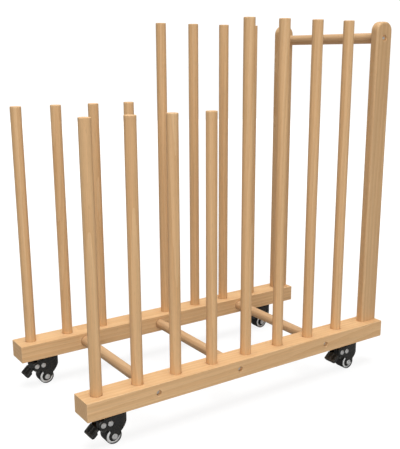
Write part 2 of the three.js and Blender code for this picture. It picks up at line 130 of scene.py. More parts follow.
# Measures of a brake pedal along its lever, from the pedal's rivet
PEDAL_SLOPE = np.radians(43)
PLATE_START, PLATE_END = -0.0098, -0.0282
PLATE_TOP, PLATE_BOTTOM = 0.0045, 0.0011
PLATE_CORNER = 0.0035
PLATE_BORDER = 0.0032
PLATE_WEAR_BAND = 0.0009
GROOVE_DEPTH, GROOVE_FADE = 0.0011, 0.003
PAD_DEPTH, PAD_LENGTH = 0.0032, 0.011
PAD_ROUNDING, PAD_FALL = 0.006, 0.0035
TONGUE_THICKNESS, TONGUE_OVERLAP = 0.0017, 0.001
NECK_GAP, NECK_OVERLAP = 0.0004, 0.0005
NECK_TOP, NECK_BOTTOM = PLATE_TOP - 0.0009, -0.0036
NECK_BAND = 0.0005
BARREL_BORE, BARREL_WALL, BARREL_RADIUS = 0.0028, 0.0034, 0.0048
SHOE_GAP, SHOE_HALF_WIDTH = 0.0006, 0.008
SHOE_LAG, SHOE_SPREAD = 20, 14

# Wood grain: where the log's heart lies and sways, and how each noise is stretched along the grain
HEART_PLACE, HEART_SWAY = (0.11, -0.23, 0.0), (0.06, 0.06, 0.0)
HEART_STRETCH = (4.0, 4.0, 0.9)
BAND_STRETCH = (60.0, 60.0, 2.2)
FIBRE_STRETCH = (620.0, 620.0, 9.0)
FLECK_STRETCH = (1300.0, 1300.0, 85.0)

# Width of one ring of a wave texture whose scale is 1
WAVE_PERIOD = 0.31416

# Shares of growth rings, bands, flecks and worn edges in the colours, and the fineness of the wear
GROWTH_SHARE, BAND_SHARE, FLECK_SHARE = 0.38, 0.62, 0.2
WOOD_WEAR_SHARE, WOOD_RUB = 0.35, 140.0
FINISH_WEAR_SHARE, FINISH_RUB = 0.6, 520.0

# Wood tones
PALE_WOOD, DEEP_WOOD = (0.82, 0.530, 0.275, 1.0), (0.73, 0.435, 0.205, 1.0)
PALE_POST, DEEP_POST = (0.71, 0.458, 0.238, 1.0), (0.63, 0.375, 0.177, 1.0)
PALE_ROD, DEEP_ROD = (0.665, 0.435, 0.24, 1.0), (0.59, 0.357, 0.178, 1.0)
FLECK_WOOD, WORN_WOOD = (0.30, 0.155, 0.065, 1.0), (0.86, 0.62, 0.38, 1.0)


# Grids and shells

def grid_quads(rows, columns, wrap=False):
    """Corner numbers of the quads of a grid whose points run row by row.

    A quad takes two neighbours of one row and the same two of the next row. With wrap the last
    column joins the first.
    """
    left = np.arange(columns if wrap else columns - 1)
    right = (left + 1) % columns
    start = columns * np.arange(rows - 1)[:, None]
    corners = [start + left, start + right, start + columns + right, start + columns + left]
    return np.stack(corners, axis=-1).reshape(-1, 4)


def shell(points, quads, edge=0.0):
    """A patch of surface: its points, the corners of its quads, and how near an edge each point is."""
    points = np.asarray(points, float).reshape(-1, 3)
    return points, np.asarray(quads), np.broadcast_to(edge, len(points)).astype(float)


def weld(shells):
    """Shells joined into one: points closer than a micron become one, so seams and poles close.

    A quad that folds onto a triangle at a pole is kept as a triangle.
    """
    counts = np.cumsum([0] + [len(points) for points, _, _ in shells])
    points = np.concatenate([points for points, _, _ in shells])
    quads = np.concatenate([quads + start for (_, quads, _), start in zip(shells, counts)])
    edge = np.concatenate([edge for _, _, edge in shells])
    _, first, place = np.unique(np.round(points, 6), axis=0, return_index=True, return_inverse=True)
    place = place.ravel()
    joined_edge = np.zeros(len(first))
    np.maximum.at(joined_edge, place, edge)
    quads = place[quads]
    folded = quads == np.roll(quads, -1, axis=1)
    triangles = [np.delete(quads[folded[:, k] & (folded.sum(1) == 1)], k, axis=1) for k in range(4)]
    return points[first], quads[~folded.any(1)], np.concatenate(triangles), joined_edge


def eased(corners, radius, steps=5, closed=False):
    """A polyline whose corners are rounded.

    Each corner gives way to a quadratic curve that starts and ends at the radius's distance from it
    and has the corner as its middle control point. radius is one number, or one for each corner.
    """
    corners = np.asarray(corners, float)
    before, after = np.roll(corners, 1, axis=0) - corners, np.roll(corners, -1, axis=0) - corners
    reach = np.broadcast_to(radius, len(corners)).copy()
    if not closed:
        reach[[0, -1]] = 0.0
    unit = [side / np.linalg.norm(side, axis=1, keepdims=True) for side in (before, after)]
    start, end = (corners + side * reach[:, None] for side in unit)
    t = np.linspace(0, 1, steps)[:, None]
    pieces = [
        (1 - t) ** 2 * a + 2 * t * (1 - t) * corner + t ** 2 * b if size > 0 else corner[None]
        for a, corner, b, size in zip(start, corners, end, reach)
    ]
    return np.concatenate(pieces)


def revolved(radii, heights, centre, axis, edge=0.0):
    """Rings about an axis: ring by ring, a point stands at its radius across the axis, at its angle,
    and at its height along the axis. radii has one row for each ring and one column for each angle.
    """
    rows, columns = radii.shape
    angle = 2 * np.pi * np.arange(columns) / columns
    points = np.empty((rows, columns, 3))
    first, second = (axis + 1) % 3, (axis + 2) % 3
    points[..., first] = centre[first] + radii * np.cos(angle)
    points[..., second] = centre[second] + radii * np.sin(angle)
    points[..., axis] = centre[axis] + heights
    if np.ndim(edge):
        edge = np.repeat(edge, columns)
    return shell(points, grid_quads(rows, columns, wrap=True), edge)


def turned(profile, centre, axis, sides=48, edge=0.0):
    """A profile of radius and height turned about an axis, from its lowest point to its highest."""
    profile = np.asarray(profile, float)
    radii = np.repeat(profile[:, :1], sides, axis=1)
    return revolved(radii, profile[:, 1:], centre, axis, edge)


def hoop(profile, centre, axis, sides=WHEEL_SIDES):
    """A closed profile of radius and height turned about an axis into a ring."""
    return turned(np.concatenate([profile, profile[:1]]), centre, axis, sides)


def rulings(low, high, bands, cells):
    """Places of a block's grid lines along one axis: its ends, a band inside each end, the sides of the
    cells round its holes, and evenly spaced lines inside those cells.
    """
    marks = [low, high, *bands]
    for centre, half, _ in cells:
        marks += [centre - half, centre + half]
    marks = np.unique(np.round(marks, 6))
    lines = [marks[:1]]
    for start, end in zip(marks[:-1], marks[1:]):
        middle = (start + end) / 2
        steps = [step for centre, half, step in cells if abs(middle - centre) < half]
        count = int(np.ceil((end - start) / min(steps))) if steps else 1
        lines.append(np.linspace(start, end, count + 1)[1:])
    return np.round(np.concatenate(lines), 7)


def blind_hole(axis, side, plane, line_a, line_b, centre, radius, depth):
    """A round blind hole in a square cell of a box's face, drawn in rings.

    The rings are the cell's border, the hole's circle, the circle at the hole's floor, and the floor's
    centre. A point of a circle lies straight between the border's point and the centre. The hole's circle
    gets edge 1.
    """
    a, b = (axis + 1) % 3, (axis + 2) % 3
    border = np.concatenate([
        np.stack([line_a[:-1], np.full(len(line_a) - 1, line_b[0])], axis=1),
        np.stack([np.full(len(line_b) - 1, line_a[-1]), line_b[:-1]], axis=1),
        np.stack([line_a[:0:-1], np.full(len(line_a) - 1, line_b[-1])], axis=1),
        np.stack([np.full(len(line_b) - 1, line_a[0]), line_b[:0:-1]], axis=1),
    ])
    middle = centre[[a, b]]
    outward = border - middle
    outward /= np.linalg.norm(outward, axis=1, keepdims=True)
    circle = middle + radius * outward
    count = len(border)
    rings = np.empty((4, count, 3))
    rings[..., [a, b]] = np.stack([border, circle, circle, np.broadcast_to(middle, border.shape)])
    floor = plane + (-depth if side else depth)
    rings[..., axis] = np.array([plane, plane, floor, floor])[:, None]
    quads = grid_quads(4, count, wrap=True)
    return shell(rings, quads if side else quads[:, ::-1], np.repeat([0.0, 1.0, 0.0, 0.0], count))


def block(low, high, holes=(), extra=((), (), ()), band=WOOD_WEAR_BAND):
    """A box as six grids that share their lines, with round blind holes sunk into its faces.

    A hole is (axis, side, centre, radius, depth), and its cell is cut from the face's grid. extra gives
    more lines along each axis. Points on two faces at once are the box's edges and get edge 1.
    """
    low, high = np.asarray(low, float), np.asarray(high, float)
    lines = []
    for axis in range(3):
        cells = [(centre[axis], HOLE_CELL * radius, radius / HOLE_STEPS)
                 for hole_axis, _, centre, radius, _ in holes if hole_axis != axis]
        bands = [low[axis] + band, high[axis] - band, *extra[axis]]
        lines.append(rulings(low[axis], high[axis], bands, cells))
    shells = []
    for axis in range(3):
        a, b = (axis + 1) % 3, (axis + 2) % 3
        rows, columns = len(lines[a]), len(lines[b])
        for side in (0, 1):
            plane = lines[axis][-1] if side else lines[axis][0]
            face = np.empty((rows, columns, 3))
            face[..., a], face[..., b], face[..., axis] = lines[a][:, None], lines[b][None], plane
            rim = np.zeros((rows, columns))
            rim[[0, -1]] = 1
            rim[:, [0, -1]] = 1
            quads = grid_quads(rows, columns)[:, ::-1]
            middle = face.reshape(-1, 3)[quads].mean(1)
            for hole_axis, hole_side, centre, radius, depth in holes:
                if (hole_axis, hole_side) != (axis, side):
                    continue
                centre, half = np.asarray(centre, float), HOLE_CELL * radius
                inside = (abs(middle[:, a] - centre[a]) < half) & (abs(middle[:, b] - centre[b]) < half)
                quads, middle = quads[~inside], middle[~inside]
                near = [lines[k][abs(lines[k] - centre[k]) < half + 2 * SAME_PLACE] for k in (a, b)]
                shells.append(blind_hole(axis, side, plane, *near, centre, radius, depth))
            shells.append(shell(face, quads if side else quads[:, ::-1], rim.ravel()))
    return shells


def prism(outline, low, high, axis, bore=None):
    """A convex outline pushed along an axis from low to high: a wall between the outline at both ends,
    and a cap at each end drawn in from the outline to its middle, or to a round hole of radius bore
    about the origin, whose wall joins the two caps.
    """
    outline = np.asarray(outline, float)
    count = len(outline)
    first, second = (axis + 1) % 3, (axis + 2) % 3
    if bore:
        inner = bore * outline / np.linalg.norm(outline, axis=1, keepdims=True)
    else:
        inner = np.broadcast_to(outline.mean(0), outline.shape)
    flat = np.stack([inner, outline, outline, inner, inner])
    points = np.empty((5, count, 3))
    points[..., first], points[..., second] = flat[..., 0], flat[..., 1]
    points[..., axis] = np.array([low, low, high, high, low])[:, None]
    rows = 5 if bore else 4
    quads = grid_quads(rows, count, wrap=True)
    return shell(points[:rows], quads, np.repeat([0.0, 1.0, 1.0, 0.0, 0.0][:rows], count))


# Node tools

def wire(tree, kind, sockets=None, **settings):
    """Adds a node, sets its properties, and fills its sockets with values or with other nodes' outputs."""
    node = tree.nodes.new(kind)
    for name, value in settings.items():
        setattr(node, name, value)
    for name, value in (sockets or {}).items():
        if isinstance(value, bpy.types.NodeSocket):
            tree.links.new(value, node.inputs[name])
        else:
            node.inputs[name].default_value = value
    return node


def node_group(name, inputs, outputs):
    """A shader node group with named sockets: (name, kind) pairs, or (name, kind, value) for inputs."""
    tree = bpy.data.node_groups.new(name, "ShaderNodeTree")
    for entry in inputs:
        made = tree.interface.new_socket(entry[0], in_out="INPUT", socket_type=entry[1])
        if len(entry) > 2:
            made.default_value = entry[2]
    for label, kind in outputs:
        tree.interface.new_socket(label, in_out="OUTPUT", socket_type=kind)
    return tree, tree.nodes.new("NodeGroupInput").outputs, tree.nodes.new("NodeGroupOutput").inputs


def stretched_noise(tree, vector, scale, detail=2.0, roughness=0.5):
    """Noise over coordinates that are scaled differently along each axis."""
    mapped = wire(tree, "ShaderNodeMapping", {"Vector": vector, "Scale": scale})
    sockets = {"Vector": mapped.outputs[0], "Scale": 1.0, "Detail": detail, "Roughness": roughness}
    return wire(tree, "ShaderNodeTexNoise", sockets).outputs["Fac"]


def ranged(tree, value, start, end, low=0.0, high=1.0):
    """value carried from the range start to end onto the range low to high, and held there outside it."""
    sockets = {"Value": value, "From Min": start, "From Max": end, "To Min": low, "To Max": high}
    return wire(tree, "ShaderNodeMapRange", sockets, interpolation_type="SMOOTHSTEP").outputs[0]


def sums(tree, operation, first, second):
    """One sum of two values."""
    return wire(tree, "ShaderNodeMath", {0: first, 1: second}, operation=operation).outputs[0]


def tinted(tree, factor, first, second, blend="MIX"):
    """Two colours mixed by a factor."""
    sockets = {0: factor, 6: first, 7: second}
    return wire(tree, "ShaderNodeMix", sockets, data_type="RGBA", blend_type=blend).outputs[2]


def wood_figure_group():
    """Grain of a board sawn from a log that lies along Z: growth rings about the log's wandering heart,
    broad bands of tone, fine fibres, and short dark flecks. Height is for a bump.
    """
    tree, given, out = node_group(
        "wood_figure",
        [("Vector", "NodeSocketVector"), ("Ring Width", "NodeSocketFloat", 0.005)],
        [("Growth", "NodeSocketFloat"), ("Bands", "NodeSocketFloat"), ("Fibre", "NodeSocketFloat"),
         ("Flecks", "NodeSocketFloat"), ("Height", "NodeSocketFloat")],
    )
    vector = given["Vector"]
    wander = wire(tree, "ShaderNodeMapping", {"Vector": vector, "Scale": HEART_STRETCH})
    wander = wire(tree, "ShaderNodeTexNoise", {"Vector": wander.outputs[0], "Scale": 1.0, "Detail": 2.0})
    shift = wire(tree, "ShaderNodeVectorMath", {0: wander.outputs["Color"], 1: HEART_SWAY, 2: HEART_PLACE},
                 operation="MULTIPLY_ADD")
    heart = wire(tree, "ShaderNodeVectorMath", {0: vector, 1: shift.outputs[0]}, operation="ADD")
    ring_scale = sums(tree, "DIVIDE", WAVE_PERIOD, given["Ring Width"])
    rings = wire(tree, "ShaderNodeTexWave",
                 {"Vector": heart.outputs[0], "Scale": ring_scale, "Distortion": 1.2, "Detail": 2.0,
                  "Detail Scale": 0.6},
                 wave_type="RINGS", rings_direction="Z", wave_profile="SAW")
    bands = stretched_noise(tree, vector, BAND_STRETCH, 2.0)
    fibre = stretched_noise(tree, vector, FIBRE_STRETCH, 3.0, 0.62)
    fleck = ranged(tree, stretched_noise(tree, vector, FLECK_STRETCH, 1.0), 0.62, 0.74)
    height = sums(tree, "SUBTRACT", fibre, fleck)
    for name, value in (("Growth", rings.outputs["Fac"]), ("Bands", bands), ("Fibre", fibre),
                        ("Flecks", fleck), ("Height", height)):
        tree.links.new(value, out[name])
    return tree


def edge_wear_group():
    """Wear along edges: the piece's own edge attribute, broken up by noise. On the pedal it also carries a
    painted highlight.
    """
    tree, given, out = node_group(
        "edge_wear",
        [("Vector", "NodeSocketVector"), ("Grain", "NodeSocketFloat", 120.0)],
        [("Wear", "NodeSocketFloat")],
    )
    edge = wire(tree, "ShaderNodeAttribute", attribute_name="edge").outputs["Fac"]
    rub = wire(tree, "ShaderNodeTexNoise",
               {"Vector": given["Vector"], "Scale": given["Grain"], "Detail": 3.0}).outputs["Fac"]
    tree.links.new(sums(tree, "MULTIPLY", edge, ranged(tree, rub, 0.38, 0.66)), out["Wear"])
    return tree


def surface_noise_group():
    """Fine unevenness of moulded, painted or plated surfaces: a speckle, and slow clouds over it."""
    tree, given, out = node_group(
        "surface_noise",
        [("Vector", "NodeSocketVector"), ("Speckle Size", "NodeSocketFloat", 2500.0)],
        [("Speckle", "NodeSocketFloat"), ("Clouds", "NodeSocketFloat")],
    )
    speckle = wire(tree, "ShaderNodeTexNoise",
                   {"Vector": given["Vector"], "Scale": given["Speckle Size"], "Detail": 2.0})
    clouds = wire(tree, "ShaderNodeTexNoise", {"Vector": given["Vector"], "Scale": 160.0, "Detail": 3.0})
    tree.links.new(speckle.outputs["Fac"], out["Speckle"])
    tree.links.new(clouds.outputs["Fac"], out["Clouds"])
    return tree


WOOD_FIGURE = wood_figure_group()
EDGE_WEAR = edge_wear_group()
SURFACE_NOISE = surface_noise_group()


def new_material(name):
    """An empty material with its tree, its principled shader and its object coordinates."""
    finish = bpy.data.materials.new(name)
    finish.use_nodes = True
    tree = finish.node_tree
    shader = tree.nodes["Principled BSDF"]
    coordinates = tree.nodes.new("ShaderNodeTexCoord").outputs["Object"]
    return finish, tree, shader, coordinates


def placed_group(tree, group, sockets):
    """The outputs of a node group placed in a material's tree."""
    return wire(tree, "ShaderNodeGroup", sockets, node_tree=group).outputs


def wood(name, turn, ring_width, pale, deep, offset=(0.0, 0.0, 0.0)):
    """Satin-lacquered pale wood. turn carries the piece's length onto Z, where the grain runs."""
    finish, tree, shader, coordinates = new_material(name)
    along = wire(tree, "ShaderNodeMapping", {"Vector": coordinates, "Rotation": turn, "Location": offset})
    grain = placed_group(tree, WOOD_FIGURE, {"Vector": along.outputs[0], "Ring Width": ring_width})
    wear = placed_group(tree, EDGE_WEAR, {"Vector": coordinates, "Grain": WOOD_RUB})["Wear"]
    tone = sums(tree, "MULTIPLY", grain["Growth"], GROWTH_SHARE)
    tone = wire(tree, "ShaderNodeMath", {0: grain["Bands"], 1: BAND_SHARE, 2: tone},
                operation="MULTIPLY_ADD").outputs[0]
    colour = tinted(tree, ranged(tree, tone, 0.2, 0.85), pale, deep)
    streak = ranged(tree, grain["Fibre"], 0.32, 0.68, 0.93, 1.04)
    colour = tinted(tree, 1.0, colour, streak, "MULTIPLY")
    fleck = sums(tree, "MULTIPLY", grain["Flecks"], FLECK_SHARE)
    colour = tinted(tree, fleck, colour, FLECK_WOOD)
    worn = sums(tree, "MULTIPLY", wear, WOOD_WEAR_SHARE)
    colour = tinted(tree, worn, colour, WORN_WOOD)
    tree.links.new(colour, shader.inputs["Base Color"])
    rough = ranged(tree, grain["Fibre"], 0.3, 0.7, 0.5, 0.62)
    tree.links.new(rough, shader.inputs["Roughness"])
    bump = wire(tree, "ShaderNodeBump", {"Height": grain["Height"], "Strength": 0.12, "Distance": 0.0004})
    tree.links.new(bump.outputs[0], shader.inputs["Normal"])
    shader.inputs["Specular IOR Level"].default_value = 0.35
    return finish


def hard_finish(name, dark, light, worn, rough, metallic=0.0, speckle=2500.0, bump=0.08):
    """A painted, plated or moulded finish: clouds between two tones, worn edges, and a speckled bump. On the
    pedal the worn tone is also a painted highlight.
    """
    finish, tree, shader, coordinates = new_material(name)
    noise = placed_group(tree, SURFACE_NOISE, {"Vector": coordinates, "Speckle Size": speckle})
    wear = placed_group(tree, EDGE_WEAR, {"Vector": coordinates, "Grain": FINISH_RUB})["Wear"]
    colour = tinted(tree, ranged(tree, noise["Clouds"], 0.3, 0.7), dark, light)
    colour = tinted(tree, sums(tree, "MULTIPLY", wear, FINISH_WEAR_SHARE), colour, worn)
    tree.links.new(colour, shader.inputs["Base Color"])
    tree.links.new(ranged(tree, noise["Clouds"], 0.3, 0.7, *rough), shader.inputs["Roughness"])
    height = wire(tree, "ShaderNodeBump",
                  {"Height": noise["Speckle"], "Strength": bump, "Distance": 0.0002})
    tree.links.new(height.outputs[0], shader.inputs["Normal"])
    shader.inputs["Metallic"].default_value = metallic
    return finish


QUARTER = np.pi / 2
RAIL_WOOD = wood("rail_wood", (0.0, QUARTER, 0.0), 0.0075, PALE_WOOD, DEEP_WOOD)
DOWEL_WOOD = wood("dowel_wood", (0.0, 0.0, 0.0), 0.006, PALE_WOOD, DEEP_WOOD)
POST_WOOD = wood("post_wood", (0.0, 0.0, 0.0), 0.0085, PALE_POST, DEEP_POST, (0.02, 0.05, 0.0))
ROD_WOOD = wood("rod_wood", (QUARTER, 0.0, 0.0), 0.006, PALE_ROD, DEEP_ROD)
BLACK_PAINT = hard_finish("black_paint", (0.008, 0.008, 0.007, 1), (0.016, 0.016, 0.014, 1),
                          (0.075, 0.074, 0.068, 1), rough=(0.22, 0.36))
# The pedal's light worn tone is partly wear and partly a painted highlight on the ribs and borders of its
# upper face, which lies in the rail's shade.
PEDAL_PAINT_WORN_AND_HIGHLIT = hard_finish("pedal_paint_worn_and_highlit", (0.008, 0.008, 0.007, 1), (0.016, 0.016, 0.014, 1),
                          (0.17, 0.17, 0.16, 1), rough=(0.3, 0.45))
DULL_ZINC = hard_finish("dull_zinc", (0.50, 0.50, 0.49, 1), (0.60, 0.60, 0.59, 1),
                        (0.70, 0.70, 0.69, 1), rough=(0.36, 0.5), metallic=0.2)
SCREW_STEEL = hard_finish("screw_steel", (0.62, 0.60, 0.56, 1), (0.72, 0.70, 0.66, 1),
                          (0.78, 0.76, 0.72, 1), rough=(0.28, 0.42), metallic=0.3)
TYRE_RUBBER = hard_finish("tyre_rubber", (0.012, 0.012, 0.012, 1), (0.026, 0.026, 0.025, 1),
                          (0.05, 0.05, 0.048, 1), rough=(0.55, 0.72), speckle=1800.0, bump=0.2)
RIM_PLASTIC = hard_finish("rim_plastic", (0.82, 0.82, 0.81, 1), (0.88, 0.88, 0.87, 1),
                          (0.90, 0.90, 0.89, 1), rough=(0.3, 0.42))
HUB_PLASTIC = hard_finish("hub_plastic", (0.014, 0.014, 0.013, 1), (0.03, 0.03, 0.028, 1),
                          (0.08, 0.08, 0.075, 1), rough=(0.38, 0.5))


# Pieces

def make_piece(name, shells, finish, body, nodes, rounding=0.0, sharp=40.0):
    """Welds shells into one piece, gives it its finish, and hangs it on its body in place of CAD nodes.

    With a rounding, a bevel modifier rounds every edge sharper than the angle; else such edges stay sharp.
    """
    points, quads, triangles, edge = weld(shells)
    mesh = bpy.data.meshes.new(name)
    mesh.from_pydata(points.tolist(), [], quads.tolist() + triangles.tolist())
    near_edge = mesh.attributes.new("edge", "FLOAT", "POINT")
    near_edge.data.foreach_set("value", edge.astype(np.float32))
    mesh.shade_smooth()
    mesh.materials.append(finish)
    piece = bpy.data.objects.new(name, mesh)
    bpy.context.scene.collection.objects.link(piece)
    if rounding:
        bevel = piece.modifiers.new("rounding", "BEVEL")
        bevel.width = rounding
        bevel.segments = 3
        bevel.limit_method = "ANGLE"
        bevel.angle_limit = np.radians(sharp)
        bevel.use_clamp_overlap = False
        bevel.harden_normals = True
    else:
        mesh.set_sharp_from_angle(angle=np.radians(sharp))
    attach(piece, body)
    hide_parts(*nodes)


def node_box(node):
    """A CAD node's lowest corner, highest corner and middle, as arrays."""
    low, high = (np.array(corner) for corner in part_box(node))
    return low, high, (low + high) / 2


def rail(row, outward):
    """A square-edged bar with a round hole for each dowel, a socket for each cross rod, and a counterbore
    for each screw.
    """
    low, high, _ = node_box(f"{row}_rail")
    outer = 1 if outward > 0 else 0
    holes = []
    for number in DOWELS:
        dowel_low, dowel_high, middle = node_box(f"{row}_dowel_{number}")
        radius = (dowel_high - dowel_low)[0] / 2 + FIT_GAP
        holes.append((Z_AXIS, 1, middle, radius, HOLE_SHOWN_DEPTH))
    for number in RODS:
        rod_low, rod_high, middle = node_box(f"cross_rod_{number}")
        radius = (rod_high - rod_low)[0] / 2 + FIT_GAP
        holes.append((Y_AXIS, 1 - outer, middle, radius, HOLE_SHOWN_DEPTH))
        screw_low, screw_high, middle = node_box(f"{row}_rod_screw_{number}")
        radius = (screw_high - screw_low)[2] / 2 + SINK_CLEARANCE
        holes.append((Y_AXIS, outer, middle, radius, RAIL_SCREW_SINK))
    shells = block(low, high, holes)
    make_piece(f"{row}_rail_bar", shells, RAIL_WOOD, "frame", [f"{row}_rail"], WOOD_ROUNDING)


def dowel(row, number):
    """A round bar, turned about its own axis, with an eased top edge.

    Its profile has one more point below the top edge, where the wear ends.
    """
    node = f"{row}_dowel_{number}"
    low, high, middle = node_box(node)
    radius = (high - low)[0] / 2
    top = high[2] - low[2]
    corners = [(0, 0), (radius, 0), (radius, top), (0, top)]
    steps = 6
    profile = eased(corners, [0, BAR_END_ROUNDING, DOWEL_TOP_ROUNDING, 0], steps)
    edge = np.where((profile[:, 1] > top - DOWEL_WEAR) & (profile[:, 0] > radius - DOWEL_WEAR), 1.0, 0.0)
    below_top = 1 + steps
    profile = np.insert(profile, below_top, [radius, top - DOWEL_WEAR_END], axis=0)
    edge = np.insert(edge, below_top, 0.0)
    centre = [middle[0], middle[1], low[2]]
    shells = [turned(profile, centre, Z_AXIS, BAR_SIDES, edge)]
    make_piece(f"{node}_bar", shells, DOWEL_WOOD, "frame", [node], sharp=60)


def post(row, outward):
    """A flat board with round top corners and softly rounded edges.

    Seen from the front its outline is a closed line: two sides that rise from the foot, with points at
    even angles about the screw, and a quarter circle at each top corner. Rings of that outline lead from
    the middle of the screw's counterbore over the outer face, round the edges and over the inner face to
    the middle of the handle's socket. A ring on an edge is drawn in, and stands back from its face, as a
    quarter circle says.
    """
    node = f"{row}_post"
    low, high, middle = node_box(node)
    screw_low, screw_high, hole = node_box(f"{row}_handle_screw")
    rod_low, rod_high, _ = node_box("handle_rod")
    _, rail_high, _ = node_box(f"{row}_rail")
    half, thick = (high - low)[0] / 2, (high - low)[1] / 2
    foot, spring = rail_high[2] + FIT_GAP, high[2] - POST_CORNER
    even_angles = np.radians(np.arange(-84, 31, 6))
    rise = hole[2] + half * np.tan(even_angles)
    turn = np.linspace(0, np.pi / 2, 13)

    def outline(inset):
        width, corner = half - inset, POST_CORNER - inset
        side = np.stack([np.full(len(rise) + 1, width), np.append(foot, rise)], axis=1)
        top = [half - POST_CORNER, spring] + corner * np.stack([np.cos(turn), np.sin(turn)], axis=1)
        right = np.concatenate([side, top])
        return np.concatenate([right, right[::-1] * [-1, 1]])

    centre = np.array([0.0, hole[2]])
    toward = outline(0.0) - centre
    toward /= np.linalg.norm(toward, axis=1, keepdims=True)
    sink = (screw_high - screw_low)[2] / 2 + SINK_CLEARANCE
    socket = (rod_high - rod_low)[2] / 2 + FIT_GAP
    fillet = np.linspace(0, np.pi / 2, 7)
    drawn_in, set_back = POST_ROUNDING * (1 - np.sin(fillet)), POST_ROUNDING * (1 - np.cos(fillet))
    flat_start = POST_ROUNDING + POST_FLAT_BAND
    counterbore = ((0.0, HANDLE_SCREW_SINK, 0), (sink, HANDLE_SCREW_SINK, 0), (sink, HOLE_RIM, 0),
                   (sink + HOLE_RIM, 0.0, 1), (sink + 2 * HOLE_RIM, 0.0, 0))
    rings, depths, edge = [], [], []
    for size, depth, worn in counterbore:
        rings.append(centre + size * toward)
        depths.append(thick - depth)
        edge.append(worn)
    for inset, depth in zip([flat_start, *drawn_in], [0.0, *set_back]):
        rings.append(outline(inset))
        depths.append(thick - depth)
        edge.append(POST_WEAR if 0 < depth < POST_ROUNDING else 0.0)
    for inset, depth in zip([*drawn_in[::-1], flat_start], [*set_back[::-1], 0.0]):
        rings.append(outline(inset))
        depths.append(depth - thick)
        edge.append(POST_WEAR if 0 < depth < POST_ROUNDING else 0.0)
    for size, depth in ((socket, 0.0), (socket, HOLE_SHOWN_DEPTH), (0.0, HOLE_SHOWN_DEPTH)):
        rings.append(centre + size * toward)
        depths.append(depth - thick)
        edge.append(0.0)
    rings = np.array(rings)
    points = np.empty((*rings.shape[:2], 3))
    points[..., 0] = middle[0] + rings[..., 0]
    points[..., 1] = middle[1] + outward * np.array(depths)[:, None]
    points[..., 2] = rings[..., 1]
    quads = grid_quads(*rings.shape[:2], wrap=True)
    shells = [shell(points, quads if outward > 0 else quads[:, ::-1], np.repeat(edge, rings.shape[1]))]
    make_piece(f"{node}_board", shells, POST_WOOD, "frame", [node], sharp=50)


def rod(node):
    """A round bar along Y between two sockets."""
    low, high, middle = node_box(node)
    radius = (high - low)[0] / 2
    length = (high - low)[1]
    corners = [(0, 0), (radius, 0), (radius, length), (0, length)]
    profile = eased(corners, [0, BAR_END_ROUNDING, BAR_END_ROUNDING, 0], 4)
    shells = [turned(profile, [middle[0], low[1], middle[2]], Y_AXIS, BAR_SIDES)]
    make_piece(f"{node}_bar", shells, ROD_WOOD, "frame", [node], sharp=60)


def cross_radius(angle, half_slot, arm):
    """Radius of a plus-shaped outline at an angle: the arm's end near each axis, its side elsewhere."""
    turn = abs((angle + np.pi / 4) % (np.pi / 2) - np.pi / 4)
    return np.minimum(arm / np.cos(turn), half_slot / np.maximum(np.sin(turn), 1e-6))


def screw(node, outward, head_share=1.0, tall=SCREW_HEAD):
    """A pan-head screw: its head's profile turned about Y, with a plus-shaped recess whose rings follow
    the recess's outline down to its floor. The head's roundings and the recess are shares of its height.
    """
    low, high, middle = node_box(node)
    head = head_share * (high - low)[2] / 2
    seat = high[1] - SCREW_HEAD if outward > 0 else low[1] + SCREW_HEAD
    sides = FINE_SIDES
    angle = 2 * np.pi * np.arange(sides) / sides
    corners = [(0, SCREW_TIP), (SCREW_SHANK, SCREW_TAPER), (SCREW_SHANK, 0), (head, 0), (head, 0.57 * tall),
               (0.7 * head, tall)]
    profile = eased(corners, [0, 0.001, 0, 0.1 * tall, 0.27 * tall, 0], 5)
    cross = cross_radius(angle, RECESS_SLOT, 0.5 * head)
    floor = cross_radius(angle, RECESS_FLOOR_SLOT, 0.4 * head)
    radii = np.concatenate([np.repeat(profile[:, :1], sides, axis=1), [cross, floor, 0 * cross]])
    heights = np.concatenate([profile[:, 1], [tall + RECESS_LIP, 0.57 * tall, 0.47 * tall]])
    points, quads, edge = revolved(radii, heights[:, None], [middle[0], 0, middle[2]], Y_AXIS)
    points[:, 1] = seat + outward * points[:, 1]
    quads = quads if outward > 0 else quads[:, ::-1]
    shells = [(points, quads, edge)]
    make_piece(f"{node}_pan_head", shells, SCREW_STEEL, "frame", [node])


# Casters

def carried(points, origin):
    """Points of a caster moved to where its swivel axis meets the rail."""
    return np.asarray(points) + np.asarray(origin)


def caster_origin(name, row):
    """Where a caster's swivel axis meets the underside of its rail."""
    _, _, middle = node_box(f"{name}_stem")
    rail_low, _, _ = node_box(f"{row}_rail")
    return np.array([middle[0], middle[1], rail_low[2]])


def arc(centre, radius, start, end, steps):
    """Points on a circle from one angle to another, in degrees."""
    angle = np.radians(np.linspace(start, end, steps))
    return centre + radius * np.stack([np.cos(angle), np.sin(angle)], axis=1)


def resampled(curve, places):
    """Points of a polyline at the given shares of its length."""
    run = np.concatenate([[0], np.cumsum(np.linalg.norm(np.diff(curve, axis=0), axis=1))])
    return np.stack([np.interp(places * run[-1], run, curve[:, k]) for k in (0, 1)], axis=1)


